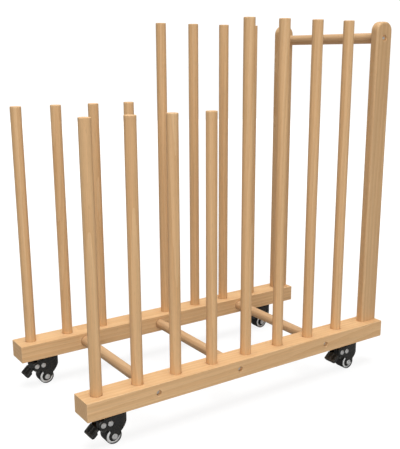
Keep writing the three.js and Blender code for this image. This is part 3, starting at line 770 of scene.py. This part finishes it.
def fork_outlines():
    """Lower and upper outline of one cheek of the fork, from the middle of the nose to the rear end.

    They are laid out flat: the first number is the distance along the wall from the middle of the nose,
    and the second is the height. The nose is cut along a slope from its top down to the leg. The leg ends
    in a round foot about the axle, and a notch leads from there to the round rear end.
    """
    bend = (CHEEK_INNER + CHEEK_OUTER) / 2
    turn = np.linspace(0, np.pi / 2, 14)
    slope = (NOSE_TOP[1] - NOSE_FOOT[1]) / (NOSE_TOP[0] - NOSE_FOOT[0])
    nose_height = NOSE_FOOT[1] + slope * (CHEEK_OUTER * np.cos(turn) - NOSE_FOOT[0])
    nose = np.stack([bend * turn, nose_height], axis=1)

    def unrolled(points):
        return np.stack([bend * np.pi / 2 - points[:, 0], points[:, 1]], axis=1)

    foot = arc(AXLE, LEG_RADIUS, 335, 180, 20)
    rear_low = arc(PEDAL_RIVET, FORK_END_RADIUS, 280, 210, 14)
    leg_start = [0.0, NOSE_FOOT[1] - NOSE_FOOT[0] * slope]
    leg_end = [NOSE_FOOT[0], AXLE[1] + LEG_RISE]
    leg = eased([leg_start, NOSE_FOOT, leg_end, foot[0]], [0, 0.0015, 0.0025, 0], 5)
    notch = eased([foot[-1], NOTCH, rear_low[0]], [0, 0.002, 0], 6)
    lower = np.concatenate([nose[:-1], unrolled(np.concatenate([leg, foot[1:], notch[1:], rear_low[1:]]))])
    rear_high = arc(PEDAL_RIVET, FORK_END_RADIUS, 110, 180, 14)
    top = eased([[0.0, FORK_TOP], [ROOF_REAR, FORK_TOP], rear_high[0]], [0, 0.004, 0], 6)
    flat_nose = np.stack([bend * turn, np.full(len(turn), FORK_TOP)], axis=1)
    upper = np.concatenate([flat_nose[:-1], unrolled(np.concatenate([top, rear_high[1:]]))])
    return lower, upper


def fork(name, origin, body):
    """A pressed fork: one sheet, laid out between a lower and an upper outline and bent into a U about the
    swivel axis, with a round shoulder along its top, and a roof across it.

    A point of the sheet has a distance along the wall, a height, and an offset across the wall. The
    distance is an arc round the nose and then runs straight back along the cheek. A column of points runs
    from the upper outline, over the shoulder's quarter circle, down to the lower outline.
    """
    lower, upper = fork_outlines()
    bend = (CHEEK_INNER + CHEEK_OUTER) / 2
    wall = (CHEEK_OUTER - CHEEK_INNER) / 2
    columns, cheek_rows, lean = 110, 7, 0.28
    share = np.linspace(0, 1, columns)
    bottom = resampled(lower, share)
    above = bottom[:, 0] / bottom[-1, 0]
    top = resampled(upper, (1 - lean) * above + lean * share)
    span = np.linalg.norm(top - bottom, axis=1)
    shoulder = np.minimum(FORK_SHOULDER, 0.35 * span)
    turn = np.linspace(np.pi / 2, 0, 6)
    drop = np.concatenate([np.outer(1 - np.sin(turn), shoulder),
                           shoulder + np.outer(np.linspace(0.12, 1, cheek_rows), span - shoulder)])
    fold = np.concatenate([np.cos(turn), np.ones(cheek_rows)])
    toward = (bottom - top) / np.maximum(span, 1e-9)[:, None]
    face = top[None] + drop[..., None] * toward[None]
    run, height = face[..., 0], face[..., 1]
    angle = np.minimum(run / bend, np.pi / 2)
    back = np.maximum(run - bend * np.pi / 2, 0)
    outer_offset = -wall + np.outer(fold, 2 * wall * np.ones(columns))
    rim = np.zeros(run.shape)
    rim[-1] = 1
    rim[:, -1] = 1
    shells = []
    for side in (-1, 1):

        def bent(offset):
            reach = bend + offset
            points = np.stack([reach * np.cos(angle) - back, side * reach * np.sin(angle), height], axis=-1)
            return carried(points, origin)

        def facing(quads):
            return quads if side < 0 else quads[:, ::-1]

        outside, inside = bent(outer_offset), bent(np.full_like(outer_offset, -wall))
        sheet = grid_quads(*run.shape)
        shells.append(shell(outside, facing(sheet), rim.ravel()))
        shells.append(shell(inside, facing(sheet[:, ::-1]), rim.ravel()))
        lower_rim = np.stack([outside[-1], inside[-1]])
        shells.append(shell(lower_rim, facing(grid_quads(2, columns)), 1.0))
        rear_rim = np.stack([outside[:, -1], inside[:, -1]])
        shells.append(shell(rear_rim, facing(grid_quads(2, len(run))[:, ::-1]), 1.0))
    inset = CHEEK_INNER + ROOF_OVERLAP
    nose = arc(np.zeros(2), inset, -90, 90, 24)
    rear = np.linspace([ROOF_REAR, inset], [ROOF_REAR, -inset], 13)
    flank = np.linspace([0.0, inset], [ROOF_REAR, inset], 9)[1:-1]
    plan = np.concatenate([nose, flank, rear, flank[::-1] * [1, -1]])
    points, quads, edge = prism(plan, FORK_TOP - FORK_ROOF, FORK_TOP, Z_AXIS, KINGPIN_RADIUS + FIT_GAP)
    shells.append((carried(points, origin), quads, 0 * edge))
    make_piece(f"{name}_fork_shell", shells, BLACK_PAINT, body, [f"{name}_fork"],
               SHEET_ROUNDING)


def stem(name, origin):
    """Stem, collar and kingpin turned as one about the swivel axis."""
    low, high, _ = node_box(f"{name}_stem")
    foot, top = low[2] - origin[2], high[2] - origin[2]
    corners = [(0, foot), (KINGPIN_HEAD_RADIUS, foot), (KINGPIN_HEAD_RADIUS, foot + KINGPIN_HEAD),
               (KINGPIN_RADIUS, foot + KINGPIN_HEAD), (KINGPIN_RADIUS, COLLAR_BOTTOM),
               (COLLAR_RADIUS, COLLAR_BOTTOM), (COLLAR_RADIUS, -FIT_GAP), (STEM_RADIUS, -FIT_GAP),
               (STEM_RADIUS, top), (0, top)]
    profile = eased(corners, [0, 0.0008, 0.0004, 0, 0, 0.0007, 0.0012, 0, 0.0009, 0], 4)
    shells = [turned(profile, origin, Z_AXIS)]
    make_piece(f"{name}_stem_collar", shells, DULL_ZINC, "frame", [f"{name}_stem"])


def headed_pin(name, kind, origin, place, sizes, body):
    """A pin across the fork with a domed head outside each cheek, turned about Y. The dome and the dimple
    in it are shares of the head's radius and height.
    """
    shank, head, height = sizes
    seat = CHEEK_OUTER + FIT_GAP
    corners = [(shank, seat), (head, seat), (head, seat + 0.55 * height), (0.62 * head, seat + height),
               (0.3 * head, seat + height), (0.22 * head, seat + 0.8 * height), (0, seat + 0.78 * height)]
    half = eased(corners, [0, 0.0002, 0.3 * head, 0.2 * head, 0.0002, 0.0002, 0], 5)
    mirrored = half[::-1] * [1, -1]
    profile = np.concatenate([mirrored, half])
    centre = origin + [place[0], 0, place[1]]
    shells = [turned(profile, centre, Y_AXIS, PIN_SIDES)]
    make_piece(f"{name}_{kind}_pin", shells, DULL_ZINC, body, [f"{name}_{kind}"])


def wheel(name, origin, body):
    """A wheel in three turned parts: a rounded tyre, a pale rim that slopes out towards a dark hub, and the
    hub, whose rings rise and sink round the wheel into low spokes.
    """
    centre = origin + [AXLE[0], 0, AXLE[1]]
    node = f"{name}_wheel"
    low, high, _ = node_box(node)
    tread = (high - low)[2] / 2
    crown, bed = tread - TREAD_CROWN, RIM_OUTER - TYRE_SEAT
    side = WHEEL_SIDE
    tyre = eased([(RIM_OUTER, -side), (crown, -side), (tread, -TREAD_HALF), (tread, TREAD_HALF),
                  (crown, side), (RIM_OUTER, side), (bed, TYRE_SEAT_HALF), (bed, -TYRE_SEAT_HALF)],
                 [0.0001, 0.0003, 0.001, 0.001, 0.0003, 0.0001, 0, 0], 6, closed=True)
    make_piece(f"{name}_tyre", [hoop(tyre, centre, Y_AXIS)], TYRE_RUBBER, body, [node])
    lip_start = RIM_INNER + RIM_LIP_WIDTH
    ring = eased([(RIM_OUTER, -RIM_SEAT), (RIM_OUTER, RIM_SEAT), (lip_start, RIM_LIP), (RIM_INNER, RIM_LIP),
                  (RIM_INNER - RIM_WAIST, 0), (RIM_INNER, -RIM_LIP), (lip_start, -RIM_LIP)],
                 0.0003, 4, closed=True)
    make_piece(f"{name}_rim", [hoop(ring, centre, Y_AXIS)], RIM_PLASTIC, body, [node])
    end = CHEEK_INNER - FIT_GAP
    rings = [(HUB_BORE, end, 0), (HUB_BOSS - 0.0004, end, 0), (HUB_BOSS, end - 0.0004, 0),
             (HUB_BOSS + 0.0003, side - 0.0005, 0), (HUB_BOSS + 0.0008, HUB_WEB, SPOKE_RISE),
             (RIM_INNER - 0.0005, HUB_WEB, SPOKE_RISE), (RIM_INNER, side - 0.0012, 0)]
    radius, level, rise = np.array(rings).T
    sides = FINE_SIDES
    angle = 2 * np.pi * np.arange(sides) / sides
    spoke = np.clip(1.6 * np.cos(SPOKES * angle) - 0.2, 0, 1)
    half = level[:, None] + rise[:, None] * spoke[None]
    radii = np.repeat(radius[:, None], sides, axis=1)
    radii = np.concatenate([radii, radii[::-1], radii[:1]])
    heights = np.concatenate([half, -half[::-1], half[:1]])
    points, quads, edge = revolved(radii, heights, centre, Y_AXIS)
    make_piece(f"{name}_hub", [(points, quads[:, ::-1], edge)], HUB_PLASTIC, body, [node])


def pedal(name, origin, body):
    """A brake pedal: a wide grooved plate with a thick pad under it, a neck that turns on a barrel, and a
    shoe that swings towards the tyre.

    The plate is a block along the lever. Its half width shrinks along a quarter circle near its end. Its
    upper face sinks in two grooves along the lever, with a rounded rib between them. Its pad hangs below,
    is rounded at the end and runs out in half a wave.
    """
    slope = np.array([[np.cos(PEDAL_SLOPE), 0, -np.sin(PEDAL_SLOPE)], [0, 1, 0],
                      [np.sin(PEDAL_SLOPE), 0, np.cos(PEDAL_SLOPE)]])
    pivot = origin + [PEDAL_RIVET[0], 0, PEDAL_RIVET[1]]
    half, tray = CHEEK_OUTER, CHEEK_OUTER - PLATE_BORDER
    corner_start = PLATE_END + PLATE_CORNER
    turn = np.linspace(0, np.pi / 2, 7)[:-1]
    lengthwise = np.concatenate([corner_start - PLATE_CORNER * np.sin(turn),
                                 np.linspace(PLATE_END + 0.004, PLATE_START - 0.0012, 37)])
    crosswise = np.linspace(-tray, tray, 33)
    plate = block([PLATE_END, -half, PLATE_BOTTOM], [PLATE_START, half, PLATE_TOP],
                  extra=(lengthwise, crosswise, ()), band=PLATE_WEAR_BAND)

    def groove(points):
        """How deep each point lies in a groove, from 0 to 1."""
        rib = np.clip(1.4 * np.cos(2 * np.pi * points[:, 1] / tray) - 0.2, 0, 1)
        inside = (points[:, 2] > PLATE_TOP - SAME_PLACE) & (abs(points[:, 1]) < tray + SAME_PLACE)
        fade = np.clip((points[:, 0] - PLATE_END - GROOVE_FADE) / GROOVE_FADE, 0, 1)
        return (1 - rib) * inside * fade

    def formed(points):
        """The block's points moved to the plate's shape."""
        points = points.copy()
        points[:, 2] -= GROOVE_DEPTH * groove(points)
        inward = np.clip((corner_start - points[:, 0]) / PLATE_CORNER, 0, 1)
        points[:, 1] *= (half - PLATE_CORNER * (1 - np.sqrt(1 - inward ** 2))) / half
        run = points[:, 0] - PLATE_END
        rise = np.sqrt(1 - (0.8 * np.clip(1 - run / PAD_ROUNDING, 0, 1)) ** 2)
        fall = 0.5 + 0.5 * np.cos(np.pi * np.clip((run - PAD_LENGTH) / PAD_FALL, 0, 1))
        points[:, 2] -= PAD_DEPTH * rise * fall * (points[:, 2] < PLATE_BOTTOM + SAME_PLACE)
        return points

    def trodden_and_highlit(points):
        """Wear of the ribs and borders on the upper face, and a little elsewhere. Their lighter tone is also
        a painted highlight on the ribs and borders, which leaves the grooves darker.
        """
        return np.where(points[:, 2] > PLATE_TOP - SAME_PLACE, 1 - groove(points), 0.1)

    shells = [(formed(points), quads, trodden_and_highlit(points)) for points, quads, _ in plate]
    neck = CHEEK_INNER - NECK_GAP
    shells += block([PLATE_START - TONGUE_OVERLAP, -neck, PLATE_TOP - TONGUE_THICKNESS],
                    [0, neck, PLATE_TOP], band=NECK_BAND)
    shells += block([PLATE_START - NECK_OVERLAP, -neck, NECK_BOTTOM],
                    [-BARREL_WALL, neck, NECK_TOP], band=NECK_BAND)
    shells = [(points @ slope.T, quads, edge) for points, quads, edge in shells]
    barrel = eased([(BARREL_BORE, -neck), (BARREL_RADIUS, -neck), (BARREL_RADIUS, neck), (BARREL_BORE, neck)],
                   0.0004, 4, closed=True)
    shells.append(hoop(barrel, np.zeros(3), Y_AXIS, PIN_SIDES))
    to_axle = AXLE - PEDAL_RIVET
    shoe_reach = np.linalg.norm(to_axle) - WHEEL_RADIUS - SHOE_GAP
    aim = np.degrees(np.arctan2(to_axle[1], to_axle[0])) - SHOE_LAG
    wedge = np.concatenate([arc(np.zeros(2), BARREL_WALL, aim + SHOE_SPREAD, aim - SHOE_SPREAD, 5),
                            arc(np.zeros(2), shoe_reach, aim - SHOE_SPREAD, aim + SHOE_SPREAD, 12)])
    shells.append(prism(wedge[::-1, ::-1], -SHOE_HALF_WIDTH, SHOE_HALF_WIDTH, Y_AXIS))
    shells = [(carried(points, pivot), quads, edge) for points, quads, edge in shells]
    make_piece(f"{name}_pedal_plate", shells, PEDAL_PAINT_WORN_AND_HIGHLIT, body, [f"{name}_brake_pedal"],
               SHEET_ROUNDING, sharp=75)


for row, outward in ROWS.items():
    rail(row, outward)
    post(row, outward)
    screw(f"{row}_handle_screw", outward, HANDLE_HEAD_SHARE, HANDLE_HEAD)
    for number in DOWELS:
        dowel(row, number)
    for number in RODS:
        screw(f"{row}_rod_screw_{number}", outward)
    for end in ENDS:
        name = f"{row}_{end}_caster"
        origin = caster_origin(name, row)
        fork_body = f"{row}_{end}_fork"
        stem(name, origin)
        fork(name, origin, fork_body)
        headed_pin(name, "axle", origin, AXLE, AXLE_PIN, fork_body)
        headed_pin(name, "spacer_rivet", origin, SPACER_RIVET, RIVET_PIN, fork_body)
        headed_pin(name, "pedal_rivet", origin, PEDAL_RIVET, RIVET_PIN, fork_body)
        wheel(name, origin, f"{row}_{end}_wheel")
        pedal(name, origin, f"{row}_{end}_pedal")
for number in RODS:
    rod(f"cross_rod_{number}")
rod("handle_rod")


# Camera, floor and light

CAMERA_PLACE = (-0.77534, -1.15082, 0.62592)
CAMERA_DIP, CAMERA_TURN = 0.2557, -0.6047
FLOOR_RINGS = np.array([60.0, 15.0, 4.0, 1.0, 0.0])
FLOOR_TONE, FLOOR_SHADE = (0.36, 0.36, 0.36, 1), (0.16, 0.16, 0.16, 1)
WHITE = (1, 1, 1, 1)

scene = bpy.context.scene
lens = bpy.data.cameras.new("camera")
lens.sensor_width = 36.0
lens.lens = 58.81
lens.shift_x = -0.0255
lens.shift_y = 0.0508
lens.clip_end = 200.0
camera = bpy.data.objects.new("camera", lens)
camera.location = CAMERA_PLACE
camera.rotation_euler = (np.pi / 2 - CAMERA_DIP, 0.0, CAMERA_TURN)
scene.collection.objects.link(camera)
scene.camera = camera
scene.view_settings.view_transform = "Standard"


def studio_floor():
    """A wide round floor, drawn as rings about the middle of the rack.

    The camera sees it glow almost white, a little less near the rack, with soft shadows over it. Other rays
    meet a dim grey.
    """
    profile = np.stack([FLOOR_RINGS, np.zeros(len(FLOOR_RINGS))], axis=1)
    points, quads, _ = turned(profile, (0.0, 0.0, 0.0), Z_AXIS, 64)
    points, quads, triangles, _ = weld([shell(points, quads)])
    mesh = bpy.data.meshes.new("floor")
    mesh.from_pydata(points.tolist(), [], quads.tolist() + triangles.tolist())
    floor = bpy.data.objects.new("floor", mesh)
    scene.collection.objects.link(floor)
    paper = bpy.data.materials.new("floor_paper")
    paper.use_nodes = True
    tree = paper.node_tree
    tree.nodes.remove(tree.nodes["Principled BSDF"])
    dim = wire(tree, "ShaderNodeBsdfDiffuse", {"Color": FLOOR_TONE})
    shaded = wire(tree, "ShaderNodeBsdfDiffuse", {"Color": FLOOR_SHADE})
    away = wire(tree, "ShaderNodeVectorMath", {0: tree.nodes.new("ShaderNodeTexCoord").outputs["Object"]},
                operation="LENGTH").outputs["Value"]
    strength = ranged(tree, away, 0.4, 1.6, 0.87, 1.0)
    glow = wire(tree, "ShaderNodeEmission", {"Color": WHITE, "Strength": strength})
    seen = wire(tree, "ShaderNodeAddShader", {0: shaded.outputs[0], 1: glow.outputs[0]})
    path = tree.nodes.new("ShaderNodeLightPath")
    sockets = {0: path.outputs["Is Camera Ray"], 1: dim.outputs[0], 2: seen.outputs[0]}
    mixed = wire(tree, "ShaderNodeMixShader", sockets)
    tree.links.new(mixed.outputs[0], tree.nodes["Material Output"].inputs["Surface"])
    mesh.materials.append(paper)


def softbox(name, place, aim, size, power):
    """A square soft light that faces a point."""
    lamp = bpy.data.lights.new(name, "AREA")
    lamp.shape = "SQUARE"
    lamp.size = size
    lamp.energy = power
    light = bpy.data.objects.new(name, lamp)
    light.location = place
    facing = np.array(aim) - np.array(place)
    tilt = np.pi / 2 + np.arctan2(facing[2], np.hypot(facing[0], facing[1]))
    turn = np.arctan2(facing[1], facing[0]) - np.pi / 2
    light.rotation_euler = (tilt, 0.0, turn)
    scene.collection.objects.link(light)
    return light


def white_room():
    """A dim even world that the camera sees as white."""
    world = bpy.data.worlds.new("room")
    world.use_nodes = True
    scene.world = world
    tree = world.node_tree
    path = tree.nodes.new("ShaderNodeLightPath")
    level = wire(tree, "ShaderNodeMapRange",
                 {"Value": path.outputs["Is Camera Ray"], "To Min": 0.12, "To Max": 1.05})
    tree.links.new(level.outputs[0], tree.nodes["Background"].inputs["Strength"])
    tree.nodes["Background"].inputs["Color"].default_value = WHITE


studio_floor()
white_room()
softbox("overhead", place=(0.0, -0.2, 7.0), aim=(0.0, 0.0, 0.1), size=5.4, power=560.0)
softbox("key", place=(-2.8, -5.5, 2.2), aim=(0.0, 0.0, 0.3), size=3.6, power=190.0)
fill = softbox("fill", place=(2.4, 5.2, 1.5), aim=(0.0, 0.0, 0.3), size=3.6, power=110.0)
fill.visible_glossy = False
